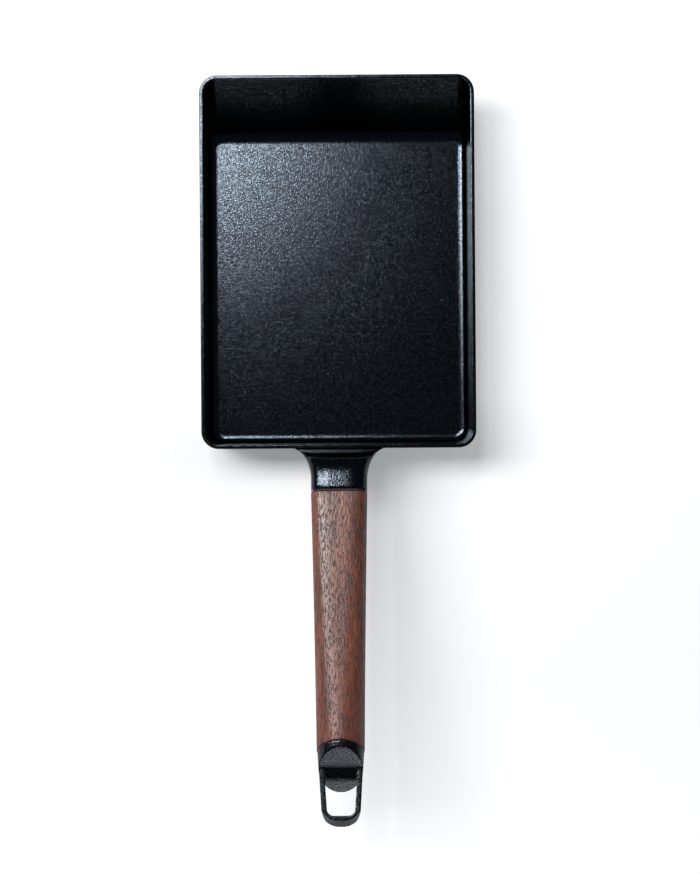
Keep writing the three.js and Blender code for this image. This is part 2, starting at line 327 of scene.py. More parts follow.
def bar_along(name: str, radius: float, begin: float, stop: float, place: Matrix) -> bpy.types.Object:
    """Makes a round bar along a frame's -Y.

    Args:
        name: The object's name.
        radius: The bar's radius.
        begin: Where it starts along -Y.
        stop: Where it ends.
        place: The frame.

    Returns:
        The bar, with its place in its mesh.
    """
    bpy.ops.object.select_all(action="DESELECT")
    bpy.ops.mesh.primitive_cylinder_add(vertices=BAR_SIDES, radius=radius, depth=stop - begin)
    bar = bpy.context.active_object
    lie_down = Matrix.Translation((0.0, -(begin + stop) / 2.0, 0.0)) @ Matrix.Rotation(math.pi / 2.0, 4, "X")
    bar.matrix_world = place @ lie_down
    return newest(name)


class MixSocket(Enum):
    """Where a colour mix keeps its sockets."""

    SHARE = 0
    FIRST = 6
    SECOND = 7
    RESULT = 2


class NodeSheet:
    """A node tree that is filled one node at a time."""

    def __init__(self, tree: bpy.types.NodeTree) -> None:
        """Keeps the tree that is filled."""
        self.tree = tree

    @classmethod
    def of_material(cls, name: str) -> tuple[bpy.types.Material, NodeSheet]:
        """Makes a material with an empty node tree, and the sheet that fills it."""
        made = bpy.data.materials.new(name)
        made.use_nodes = True
        made.node_tree.nodes.clear()
        return made, cls(made.node_tree)

    def add(
        self, kind: str, inputs: dict[object, object] | None = None, **settings: object
    ) -> bpy.types.Node:
        """Adds a node, sets it and joins its inputs.

        Args:
            kind: The node's type.
            inputs: For each input by name or number, a value or the socket that feeds it.
            settings: The node's own settings by name.

        Returns:
            The node.
        """
        node = self.tree.nodes.new(kind)
        for key, value in settings.items():
            setattr(node, key, value)
        for key, value in (inputs or {}).items():
            socket = node.inputs[key]
            if isinstance(value, bpy.types.NodeSocket):
                self.tree.links.new(value, socket)
            else:
                socket.default_value = value
        return node

    def math(self, operation: str, first: object, second: object) -> bpy.types.NodeSocket:
        """Adds an operation on two values and gives its result."""
        return self.add("ShaderNodeMath", {0: first, 1: second}, operation=operation).outputs[0]

    def ramp(self, value: object, low: float, high: float) -> bpy.types.NodeSocket:
        """Adds a smooth step from 0 to 1 between two values and gives its result."""
        node = self.add(
            "ShaderNodeMapRange",
            {"Value": value, "From Min": low, "From Max": high},
            interpolation_type="SMOOTHSTEP",
        )
        return node.outputs["Result"]

    def blend(self, share: object, first: object, second: object) -> bpy.types.NodeSocket:
        """Adds a mix of two colours and gives its result."""
        inputs = {MixSocket.SHARE.value: share, MixSocket.FIRST.value: first, MixSocket.SECOND.value: second}
        return self.add("ShaderNodeMix", inputs, data_type="RGBA").outputs[MixSocket.RESULT.value]


@dataclass(frozen=True)
class CastGrain:
    """The grain that both black castings share: facets that glint, and flecks on rounded pebbles.

    Attributes:
        softness: How softly the pebbles meet.
        swell_scale: The swells' count, as a share of the pebbles'.
        facet_scale: The facets' count, as a share of the pebbles'.
        dust_scale: The dust's count, as a share of the pebbles'.
        detail: The finer steps in the swells and the dust.
        swell_weight: The swells' share in the flecks.
        pebble_weight: The pebbles' share in the flecks.
        fleck_edge: Where the flecks start and where they are full.
    """

    softness: float = 0.6
    swell_scale: float = 0.6
    facet_scale: float = 0.8
    dust_scale: float = 2.6
    detail: float = 2.0
    swell_weight: float = 0.9
    pebble_weight: float = 0.8
    fleck_edge: tuple[float, float] = (-0.15, 0.35)

    def group(self) -> bpy.types.NodeTree:
        """Builds the node group.

        Returns:
            A group with a vector, a pebble count per metre and a dust share in, and height and fleck out.
        """
        group = bpy.data.node_groups.new("cast_grain", "ShaderNodeTree")
        kinds = {"Vector": "NodeSocketVector", "Pebbles": "NodeSocketFloat", "Dust": "NodeSocketFloat"}
        for name, kind in kinds.items():
            group.interface.new_socket(name=name, in_out="INPUT", socket_type=kind)
        for name in ("Height", "Fleck"):
            group.interface.new_socket(name=name, in_out="OUTPUT", socket_type="NodeSocketFloat")
        sheet = NodeSheet(group)
        given = sheet.add("NodeGroupInput").outputs

        def noise(scale: float, detail: float) -> bpy.types.NodeSocket:
            """Adds a noise whose count is a share of the pebbles'."""
            count = sheet.math("MULTIPLY", given["Pebbles"], scale)
            inputs = {"Vector": given["Vector"], "Scale": count, "Detail": detail}
            return sheet.add("ShaderNodeTexNoise", inputs).outputs["Fac"]

        pebbles = sheet.add(
            "ShaderNodeTexVoronoi",
            {"Vector": given["Vector"], "Scale": given["Pebbles"], "Smoothness": self.softness},
            feature="SMOOTH_F1",
        ).outputs["Distance"]
        swells = sheet.math("MULTIPLY", noise(self.swell_scale, self.detail), self.swell_weight)
        rounded = sheet.math("SUBTRACT", swells, sheet.math("MULTIPLY", pebbles, self.pebble_weight))
        dust = sheet.math("MULTIPLY", noise(self.dust_scale, self.detail), given["Dust"])
        height = sheet.math("ADD", noise(self.facet_scale, 0.0), dust)
        sheet.add("NodeGroupOutput", {"Height": height, "Fleck": sheet.ramp(rounded, *self.fleck_edge)})
        return group


@dataclass(frozen=True)
class CastCoating:
    """The black textured coating of the castings.

    Attributes:
        name: The material's name.
        dark: The colour of its reflections between the flecks.
        pale: The colour of its reflections on the flecks.
        pebbles: Pebbles of the grain to the metre.
        dust: The share of the finer dust in the grain's height.
        relief: The grain's height in metres.
        gloss: The roughness between the flecks.
        matt: The roughness on the flecks.
    """

    name: str
    dark: tuple[float, float, float, float]
    pale: tuple[float, float, float, float]
    pebbles: float
    dust: float
    relief: float
    gloss: float
    matt: float

    def material(self, grain: bpy.types.NodeTree) -> bpy.types.Material:
        """Builds the material.

        Args:
            grain: The shared grain group.

        Returns:
            The material.
        """
        made, sheet = NodeSheet.of_material(self.name)
        place = sheet.add("ShaderNodeTexCoord").outputs["Object"]
        inputs = {"Vector": place, "Pebbles": self.pebbles, "Dust": self.dust}
        grains = sheet.add("ShaderNodeGroup", inputs, node_tree=grain)
        fleck = grains.outputs["Fleck"]
        bump = sheet.add(
            "ShaderNodeBump", {"Height": grains.outputs["Height"], "Strength": 1.0, "Distance": self.relief}
        )
        rough = sheet.add(
            "ShaderNodeMapRange", {"Value": fleck, "To Min": self.gloss, "To Max": self.matt}
        ).outputs["Result"]
        shader = sheet.add(
            "ShaderNodeBsdfPrincipled",
            {
                "Base Color": sheet.blend(fleck, self.dark, self.pale),
                "Metallic": 1.0,
                "Roughness": rough,
                "Normal": bump.outputs["Normal"],
            },
        )
        sheet.add("ShaderNodeOutputMaterial", {"Surface": shader.outputs["BSDF"]})
        return made


@dataclass(frozen=True)
class WalnutFinish:
    """Oiled dark walnut with its grain along the grip.

    Attributes:
        name: The material's name.
        dark: The late wood's colour.
        light: The early wood's colour.
        pore: The pores' colour.
        tilt: The grip's rise in degrees, which the grain follows.
        roughness: The oiled surface's roughness.
        relief: The depth of the pores in metres.
        gloss_index: The oil's refractive index.
        band_grain: The bands' count to the metre across and along the grip, and their finer steps.
        streak_grain: The same for the streaks.
        pore_grain: The same for the pores.
        band_edge: Where the bands start and where they are full.
        streak_edge: The same for the streaks.
        pore_edge: The same for the pores.
        waver: How much the grain wavers.
        band_weight: The bands' share in the tone.
        streak_weight: The streaks' share in the tone.
        pore_weight: How far a pore's colour covers the wood's.
        streak_relief: The streaks' height, as a share of the pores' depth.
        pore_roughness: How much rougher the pores are.
    """

    name: str = "walnut"
    dark: tuple[float, float, float, float] = (0.07, 0.015, 0.0067, 1.0)
    light: tuple[float, float, float, float] = (0.235, 0.064, 0.03, 1.0)
    pore: tuple[float, float, float, float] = (0.006, 0.002, 0.0015, 1.0)
    tilt: float = 9.0
    roughness: float = 0.36
    relief: float = 0.00009
    gloss_index: float = 1.65
    band_grain: tuple[float, float, float] = (170.0, 9.0, 3.0)
    streak_grain: tuple[float, float, float] = (1000.0, 60.0, 2.0)
    pore_grain: tuple[float, float, float] = (2200.0, 220.0, 1.5)
    band_edge: tuple[float, float] = (0.3, 0.7)
    streak_edge: tuple[float, float] = (0.38, 0.62)
    pore_edge: tuple[float, float] = (0.52, 0.62)
    waver: float = 0.3
    band_weight: float = 0.55
    streak_weight: float = 0.45
    pore_weight: float = 0.75
    streak_relief: float = 0.25
    pore_roughness: float = 0.25

    def material(self) -> bpy.types.Material:
        """Builds the material."""
        made, sheet = NodeSheet.of_material(self.name)
        place = sheet.add("ShaderNodeTexCoord").outputs["Object"]

        def grain(counts: tuple[float, float, float], edge: tuple[float, float]) -> bpy.types.NodeSocket:
            """Adds a noise that is drawn out along the grip, and the step across its edge."""
            across, along, detail = counts
            turn = (math.radians(self.tilt), 0.0, 0.0)
            inputs = {"Vector": place, "Rotation": turn, "Scale": (across, along, across)}
            turned = sheet.add("ShaderNodeMapping", inputs).outputs["Vector"]
            noise = sheet.add(
                "ShaderNodeTexNoise",
                {"Vector": turned, "Scale": 1.0, "Detail": detail, "Distortion": self.waver},
            )
            return sheet.ramp(noise.outputs["Fac"], *edge)

        bands = grain(self.band_grain, self.band_edge)
        streaks = grain(self.streak_grain, self.streak_edge)
        pores = grain(self.pore_grain, self.pore_edge)
        tone = sheet.math(
            "ADD",
            sheet.math("MULTIPLY", bands, self.band_weight),
            sheet.math("MULTIPLY", streaks, self.streak_weight),
        )
        wood = sheet.blend(tone, self.dark, self.light)
        colour = sheet.blend(sheet.math("MULTIPLY", pores, self.pore_weight), wood, self.pore)
        height = sheet.math("SUBTRACT", sheet.math("MULTIPLY", streaks, self.streak_relief), pores)
        bump = sheet.add("ShaderNodeBump", {"Height": height, "Strength": 1.0, "Distance": self.relief})
        rough = sheet.math("ADD", sheet.math("MULTIPLY", pores, self.pore_roughness), self.roughness)
        shader = sheet.add(
            "ShaderNodeBsdfPrincipled",
            {
                "Base Color": colour,
                "Roughness": rough,
                "Normal": bump.outputs["Normal"],
                "IOR": self.gloss_index,
            },
        )
        sheet.add("ShaderNodeOutputMaterial", {"Surface": shader.outputs["BSDF"]})
        return made


@dataclass(frozen=True)
class PlainFinish:
    """A plain finish whose colour and roughness vary a little with the surface.

    Attributes:
        name: The material's name.
        low: The colour in the hollows of the pattern.
        high: The colour on its tops.
        metallic: 1 for bare metal, 0 for anything else.
        roughness: The least and the most roughness.
        pattern: The pattern's count to the metre along X, Y and Z.
        detail: The finer steps in the pattern.
    """

    name: str
    low: tuple[float, float, float, float]
    high: tuple[float, float, float, float]
    metallic: float
    roughness: tuple[float, float]
    pattern: tuple[float, float, float]
    detail: float = 3.0

    def material(self) -> bpy.types.Material:
        """Builds the material."""
        made, sheet = NodeSheet.of_material(self.name)
        place = sheet.add("ShaderNodeTexCoord").outputs["Object"]
        scaled = sheet.add("ShaderNodeMapping", {"Vector": place, "Scale": self.pattern}).outputs["Vector"]
        inputs = {"Vector": scaled, "Scale": 1.0, "Detail": self.detail}
        noise = sheet.add("ShaderNodeTexNoise", inputs).outputs["Fac"]
        rough = sheet.add(
            "ShaderNodeMapRange", {"Value": noise, "To Min": self.roughness[0], "To Max": self.roughness[1]}
        ).outputs["Result"]
        shader = sheet.add(
            "ShaderNodeBsdfPrincipled",
            {
                "Base Color": sheet.blend(noise, self.low, self.high),
                "Roughness": rough,
                "Metallic": self.metallic,
            },
        )
        sheet.add("ShaderNodeOutputMaterial", {"Surface": shader.outputs["BSDF"]})
        return made


def dress(piece: bpy.types.Object, material: bpy.types.Material, slot: str, *nodes: str) -> None:
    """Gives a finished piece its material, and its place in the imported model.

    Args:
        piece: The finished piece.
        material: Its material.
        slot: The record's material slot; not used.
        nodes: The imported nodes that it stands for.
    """
    piece.data.materials.clear()
    piece.data.materials.append(material)
    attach(piece, BODY)
    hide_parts(*nodes)
    log.info("%s: %d faces, for %s", piece.name, len(piece.data.polygons), ", ".join(nodes))


@dataclass
class PanCasting:
    """The casting: three steep walls, a sloped far wall and the neck.

    Attributes are in metres and degrees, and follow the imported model.
    """

    handle: HandleLine
    rim_width: float = 0.140
    rim_length: float = 0.190
    height: float = 0.034
    rim_corner: float = 0.009
    rim_thickness: float = 0.0022
    rim_outer_round: float = 0.0007
    rim_outer_steps: int = 4
    rim_inner_round: float = 0.0005
    rim_inner_steps: int = 3
    outer_draft: float = 3.5
    inner_draft: float = 2.0
    floor_thickness: float = 0.003
    foot_round: float = 0.0042
    foot_steps: int = 10
    foot_fullness: float = 0.6
    base_round: float = 0.004
    base_steps: int = 6
    far_lip: float = 0.0003
    far_run: float = 0.0247
    far_outer_run: float = 0.02825
    corner_steps: int = 12
    neck_steps: int = 30
    neck_top_drop: float = 0.0026
    neck_under_height: float = 0.010
    neck_top_rise: float = 0.024
    neck_under_rise: float = 0.001
    neck_side_flare: float = 0.012
    neck_under_flare: float = 0.007
    neck_embed: float = 0.001
    neck_squareness: float = 6.0
    joint_squareness: float = 4.5
    joint_half_width: float = 0.0141
    joint_half_height: float = 0.0126
    joint_gap: float = 0.0014
    joint_edge: float = 0.0005
    joint_edge_steps: int = 3
    joint_settle: int = 4
    root_ease: float = 0.08
    tip_ease: float = 0.8

    def _spread(
        self, bench: Bench, level: Callable[[object], bool], steep: float, far: float
    ) -> None:
        """Moves the vertices of one level inwards, each corner by itself.

        Args:
            bench: The open mesh.
            level: Which vertices belong to the level.
            steep: How far the sides and the near wall move in.
            far: How far the far wall moves in.
        """
        for across in (-1, 1):
            for along in (-1, 1):
                bench.pick(Pick.VERTS, lambda v: level(v) and v.co.x * across > 0 and v.co.y * along > 0)
                bench.shift((-across * steep, -along * (far if along > 0 else steep), 0.0))

    def _shell(self) -> bpy.types.Object:
        """Models the pan without its neck from one block."""
        bpy.ops.object.select_all(action="DESELECT")
        bpy.ops.mesh.primitive_cube_add(
            size=1.0,
            location=(0.0, self.far_lip / 2.0, self.height / 2.0),
            scale=(self.rim_width, self.rim_length + self.far_lip, self.height),
        )
        shell = newest("pan_casting")
        wall_depth = self.height - self.floor_thickness
        draft_out = self.height * math.tan(math.radians(self.outer_draft))
        draft_in = wall_depth * math.tan(math.radians(self.inner_draft))
        with Bench(shell) as bench:
            bench.pick(Pick.EDGES, lambda e: abs(e.verts[0].co.z - e.verts[1].co.z) > self.height / 2.0)
            bench.round_off(self.rim_corner, self.corner_steps)
            self._spread(bench, lambda v: v.co.z < NEAR, draft_out, self.far_outer_run)
            bench.pick(Pick.FACES, lambda f: f.normal.z > FACING)
            bpy.ops.mesh.inset(thickness=self.rim_thickness, depth=0.0)
            bpy.ops.mesh.extrude_region_move(TRANSFORM_OT_translate={"value": (0.0, 0.0, -wall_depth)})
            self._spread(bench, lambda v: abs(v.co.z - self.floor_thickness) < NEAR, draft_in, self.far_run)
            bench.pick(Pick.EDGES, lambda e: all(v.co.z < NEAR for v in e.verts))
            bench.round_off(self.base_round, self.base_steps)
        self._round_floor(shell)
        self._round_rim(shell)
        return shell

    def _round_floor(self, shell: bpy.types.Object) -> None:
        """Rounds the floor's edge through edge weights.

        Args:
            shell: The hollowed block.
        """

        def on_floor(edge: object) -> bool:
            """Tells whether an edge runs round the floor."""
            level = all(abs(v.co.z - self.floor_thickness) < NEAR for v in edge.verts)
            return level and any(abs(f.normal.z) < FACING for f in edge.link_faces)

        with Bench(shell) as bench:
            bench.pick(Pick.EDGES, on_floor)
            bpy.ops.transform.edge_bevelweight(value=1.0)
        finish_modifier(
            shell,
            "BEVEL",
            limit_method="WEIGHT",
            offset_type="OFFSET",
            width=self.foot_round,
            segments=self.foot_steps,
            profile=self.foot_fullness,
            use_clamp_overlap=False,
        )

    def _round_rim(self, shell: bpy.types.Object) -> None:
        """Rounds the rim outside and inside.

        Args:
            shell: The hollowed block.
        """

        def on_rim(edge: object, outside: bool) -> bool:
            """Tells whether an edge runs round the rim on the given side."""
            if any(v.co.z < self.height - NEAR for v in edge.verts):
                return False
            middle = (edge.verts[0].co + edge.verts[1].co) / 2.0
            walls = [f.normal for f in edge.link_faces if f.normal.z < FACING]
            return any((n.x * middle.x + n.y * middle.y > 0.0) == outside for n in walls)

        with Bench(shell) as bench:
            bench.pick(Pick.EDGES, lambda e: on_rim(e, True))
            bench.round_off(self.rim_outer_round, self.rim_outer_steps)
            bench.pick(Pick.EDGES, lambda e: on_rim(e, False))
            bench.round_off(self.rim_inner_round, self.rim_inner_steps)

    def _tip(self) -> tuple[Vector, float, float]:
        """Gives the neck's tip, the slope of the outer draft, and the neck's length."""
        back = Vector(self.handle.start) - self.handle.outward(self.handle.start_tilt) * self.joint_gap
        draft = math.tan(math.radians(self.outer_draft))
        return back, draft, -self.rim_length / 2.0 + (self.height - back.z / 2.0) * draft - back.y

    def _neck_ring(self, share: float, distance: float) -> Ring:
        """Gives the neck's section at a share of its length.

        Args:
            share: 0 at the wall, 1 at the joint.
            distance: How far the section stands off the wall.

        Returns:
            The section.
        """
        back, draft, length = self._tip()
        fall = length * self.tip_ease * math.tan(math.radians(self.handle.start_tilt))

        def line(root: float, rise: float, tip: float) -> float:
            """Gives the height of one of the neck's lines here."""
            ends = (root, root + rise, tip - fall, tip)
            return bezier([Vector((0.0, 0.0, z)) for z in ends], share).z

        def flare(radius: float) -> float:
            """Gives how far a round of this radius widens the neck here."""
            rest = 1.0 - min(max(distance, 0.0), radius) / radius
            return radius * (1.0 - math.sqrt(1.0 - rest**2))

        high = line(self.height - self.neck_top_drop, self.neck_top_rise, back.z + self.joint_half_height)
        low = line(self.neck_under_height, self.neck_under_rise, back.z - self.joint_half_height)
        low -= flare(self.neck_under_flare)
        middle = (high + low) / 2.0
        wall = (self.height - middle) * draft - self.rim_length / 2.0
        along = mix(wall - distance, back.y, share**self.joint_settle)
        tilt = mix(-self.outer_draft, self.handle.start_tilt, share)
        return Ring(
            middle=(0.0, along, middle),
            tilt=tilt,
            half_width=self.joint_half_width + flare(self.neck_side_flare),
            half_height=(high - low) / 2.0 / math.cos(math.radians(tilt)),
            squareness=mix(self.neck_squareness, self.joint_squareness, share),
        )

    def _neck(self) -> bpy.types.Object:
        """Models the neck as a skin from inside the wall to the joint."""
        _, _, length = self._tip()
        ends = (0.0, length * self.root_ease, length * (1.0 - self.tip_ease), length)
        rings = [self._neck_ring(0.0, -self.neck_embed)]
        for step in range(self.neck_steps + 1):
            share = step / self.neck_steps
            distance = bezier([Vector((d, 0.0, 0.0)) for d in ends], share).x
            rings.append(self._neck_ring(share, distance))
        neck = skin_over("neck", rings)
        with Bench(neck) as bench:
            bench.pick(
                Pick.EDGES, lambda e: any(len(f.verts) > 4 and f.normal.y < -FACING for f in e.link_faces)
            )
            bench.round_off(self.joint_edge, self.joint_edge_steps)
        return neck

    def build(self) -> bpy.types.Object:
        """Models the whole casting.

        Returns:
            The finished mesh object.
        """
        casting = self._shell()
        join_solids(casting, self._neck(), Join.ADD)
        tidy_mesh(casting)
        return casting


@dataclass
class WalnutGrip:
    """The tapered grip, cut on the slant at its end."""

    handle: HandleLine
    start_half_width: float = 0.0141
    start_half_height: float = 0.0126
    end_radius: float = 0.0119
    squareness: float = 4.5
    taper_ease: float = 1.25
    end_cut: float = 26.8
    edge: float = 0.0005
    edge_steps: int = 3
    steps: int = 36
    bore_radius: float = 0.0033
    pocket_radius: float = 0.0075
    pocket_depth: float = 0.0206
    pin_radius: float = 0.0018
    pin_setback: float = 0.0045

    def build(self) -> bpy.types.Object:
        """Models the grip as a skin along the centre line, with its bore, pocket and pin hole.

        Returns:
            The finished mesh object.
        """
        controls = self.handle.controls()
        rings = []
        for step in range(self.steps + 1):
            share = step / self.steps
            taper = 1.0 - (1.0 - share) ** self.taper_ease
            lean = math.tan(math.radians(self.end_cut)) * share**2
            along = bezier_slope(controls, share).normalized()
            tilt = math.degrees(math.atan2(along.z, -along.y) + math.atan(lean))
            rings.append(
                Ring(
                    middle=tuple(bezier(controls, share)),
                    tilt=tilt,
                    half_width=mix(self.start_half_width, self.end_radius, taper),
                    half_height=mix(self.start_half_height, self.end_radius, taper) * math.hypot(1.0, lean),
                    squareness=mix(self.squareness, ELLIPSE, taper),
                )
            )
        grip = skin_over("walnut_grip", rings)
        with Bench(grip) as bench:
            bench.pick(Pick.EDGES, lambda e: any(len(f.verts) > 4 for f in e.link_faces))
            bench.round_off(self.edge, self.edge_steps)
        length = self.handle.rod_length()
        rod = self.handle.rod_frame()
        past = self.end_radius * 2.0
        join_solids(grip, bar_along("bore", self.bore_radius, -past, length, rod), Join.CUT)
        pocket = bar_along("pocket", self.pocket_radius, length - self.pocket_depth, length + past, rod)
        join_solids(grip, pocket, Join.CUT)
        pin_place = (
            self.handle.end_frame()
            @ Matrix.Translation((0.0, self.pin_setback, 0.0))
            @ Matrix.Rotation(math.pi / 2.0, 4, "X")
        )
        join_solids(grip, bar_along("pin_hole", self.pin_radius, 0.0, past, pin_place), Join.CUT)
        tidy_mesh(grip)
        return grip


@dataclass
class EndPiece:
    """The end piece: collar, slanted face, hanging loop and the boss in the grip's pocket."""

    handle: HandleLine
    root_radius: float = 0.0116
    tip_radius: float = 0.0096
    gap: float = 0.0003
    cut: float = 26.8
    face_offset: float = 0.0097
    face_slant: float = 46.1
    reach: float = 0.0344
    strap_top: float = 0.0018
    strap_height: float = 0.007
    strap_width: float = 0.0029
    strap_root: float = 0.002
    strap_step: float = 0.0002
    end_bar: float = 0.0026
    loop_ease: float = 0.0005
    loop_corner: float = 0.009
    hole_corner: float = 0.003
    corner_steps: int = 8
    cone_sides: int = 96
    boss_radius: float = 0.0072
    boss_reach: float = 0.009
    boss_root: float = 0.004
    fineness: float = 0.00035
    softening: int = 5
    softness: float = 0.5

    def _cone(self, name: str, inset: float) -> bpy.types.Object:
        """Makes the round body that narrows to the loop's tip, longer than the piece at both ends.

        Args:
            name: The object's name.
            inset: How much thinner it is all round.

        Returns:
            The cone along -Y.
        """
        narrowing = (self.root_radius - self.tip_radius) / self.reach
        begin, stop = -self.root_radius, self.reach + self.root_radius
        bpy.ops.object.select_all(action="DESELECT")
        bpy.ops.mesh.primitive_cone_add(
            vertices=self.cone_sides,
            radius1=self.root_radius - inset - begin * narrowing,
            radius2=self.root_radius - inset - stop * narrowing,
            depth=stop - begin,
            location=(0.0, -(begin + stop) / 2.0, 0.0),
            rotation=(math.pi / 2.0, 0.0, 0.0),
        )
        return newest(name)

    def _collar(self) -> bpy.types.Object:
        """Models the collar: the cone between the grip's cut and the slanted face."""
        collar = self._cone("end_piece", 0.0)
        self._trim(collar, self.gap, self.cut, True)
        self._trim(collar, self.face_offset, self.face_slant, False)
        return collar

    @staticmethod
    def _trim(body: bpy.types.Object, offset: float, slant: float, inner: bool) -> None:
        """Cuts a body along a slanted plane and closes the cut.

        Args:
            body: The body along -Y.
            offset: Where the plane meets the axis.
            slant: The plane's slant in degrees.
            inner: Whether the part towards the grip is taken off, or else the part beyond.
        """
        lean = math.radians(slant)
        with Bench(body):
            bpy.ops.mesh.select_all(action="SELECT")
            bpy.ops.mesh.bisect(
                plane_co=(0.0, -offset, 0.0),
                plane_no=(0.0, -math.cos(lean), math.sin(lean)),
                use_fill=True,
                clear_inner=inner,
                clear_outer=not inner,
            )

    def _block(
        self, name: str, widths: tuple[float, float], stop: float, low: float, high: float, corner: float
    ) -> bpy.types.Object:
        """Models a block of the loop's plan, with rounded far corners and ends parallel to the grip's cut.

        Args:
            name: The object's name.
            widths: Half its width at the root and at the far end.
            stop: Where it ends along -Y.
            low: Its lowest height.
            high: Its greatest height.
            corner: The round of its far corners.

        Returns:
            The block.
        """
        begin = self.strap_root
        bpy.ops.object.select_all(action="DESELECT")
        bpy.ops.mesh.primitive_cube_add(
            size=1.0,
            location=(0.0, -(begin + stop) / 2.0, (low + high) / 2.0),
            scale=(2.0 * widths[0], stop - begin, high - low),
        )
        block = newest(name)
        lean = math.tan(math.radians(self.cut))
        with Bench(block) as bench:
            for across in (-1, 1):
                bench.pick(Pick.VERTS, lambda v: v.co.x * across > 0 and v.co.y < NEAR - stop)
                bench.shift((across * (widths[1] - widths[0]), 0.0, 0.0))
            bench.pick(
                Pick.EDGES,
                lambda e: all(v.co.y < NEAR - stop for v in e.verts)
                and abs(e.verts[0].co.x - e.verts[1].co.x) < NEAR,
            )
            bench.round_off(corner, self.corner_steps)
            for level in (low, high):
                bench.pick(Pick.VERTS, lambda v: abs(v.co.z - level) < NEAR)
                bench.shift((0.0, level * lean, 0.0))
        return block

    def build(self) -> bpy.types.Object:
        """Models the end piece and softens its edges as on a casting.

        Returns:
            The finished mesh object.
        """
        piece = self._collar()
        low, high = self.strap_top - self.strap_height, self.strap_top
        outer = (self.root_radius + self.loop_ease, self.tip_radius + self.loop_ease)
        strap = self._block("strap", outer, self.reach, low, high, self.loop_corner)
        join_solids(strap, self._cone("strap_round", self.strap_step), Join.KEEP)
        widths = (self.root_radius - self.strap_width, self.tip_radius - self.strap_width)
        past = self.strap_height
        stop = self.reach - self.end_bar
        hole = self._block("loop_hole", widths, stop, low - past, high + past, self.hole_corner)
        join_solids(strap, hole, Join.CUT)
        join_solids(piece, strap, Join.ADD)
        rod_in_end = self.handle.end_frame().inverted() @ self.handle.rod_frame()
        length = self.handle.rod_length()
        begin = length - self.boss_reach
        boss = bar_along("boss", self.boss_radius, begin, length + self.root_radius, rod_in_end)
        self._trim(boss, self.boss_root, self.cut, False)
        join_solids(piece, boss, Join.ADD)
        finish_modifier(piece, "REMESH", mode="VOXEL", voxel_size=self.fineness)
        finish_modifier(piece, "SMOOTH", factor=self.softness, iterations=self.softening)
        piece.matrix_world = self.handle.end_frame()
        only(piece)
        bpy.ops.object.transform_apply(location=True, rotation=True, scale=True)
        bpy.ops.object.shade_smooth()
        return piece


@dataclass
class JointHardware:
    """The stud, washers, nut, pin and heat washer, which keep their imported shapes."""

    steel_nodes: tuple[str, ...] = ("tie_rod", "flat_washer", "spring_washer", "clamp_nut", "loop_pin")
    gasket_nodes: tuple[str, ...] = ("neck_gasket",)
    steel: PlainFinish = PlainFinish(
        name="bright_steel",
        low=(0.5, 0.5, 0.51, 1.0),
        high=(0.62, 0.62, 0.63, 1.0),
        metallic=1.0,
        roughness=(0.28, 0.42),
        pattern=(900.0, 900.0, 900.0),
    )
    gasket: PlainFinish = PlainFinish(
        name="heat_washer",
        low=(0.012, 0.012, 0.013, 1.0),
        high=(0.02, 0.02, 0.021, 1.0),
        metallic=0.0,
        roughness=(0.7, 0.85),
        pattern=(1500.0, 1500.0, 1500.0),
    )

    def dress(self) -> None:
        """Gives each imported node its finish."""
        for nodes, finish in ((self.steel_nodes, self.steel), (self.gasket_nodes, self.gasket)):
            material = finish.material()
            for name in nodes:
                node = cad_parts[name]
                for slot in node.material_slots:
                    slot.material = material
                log.info("%s: packed shape, finish %s", name, finish.name)


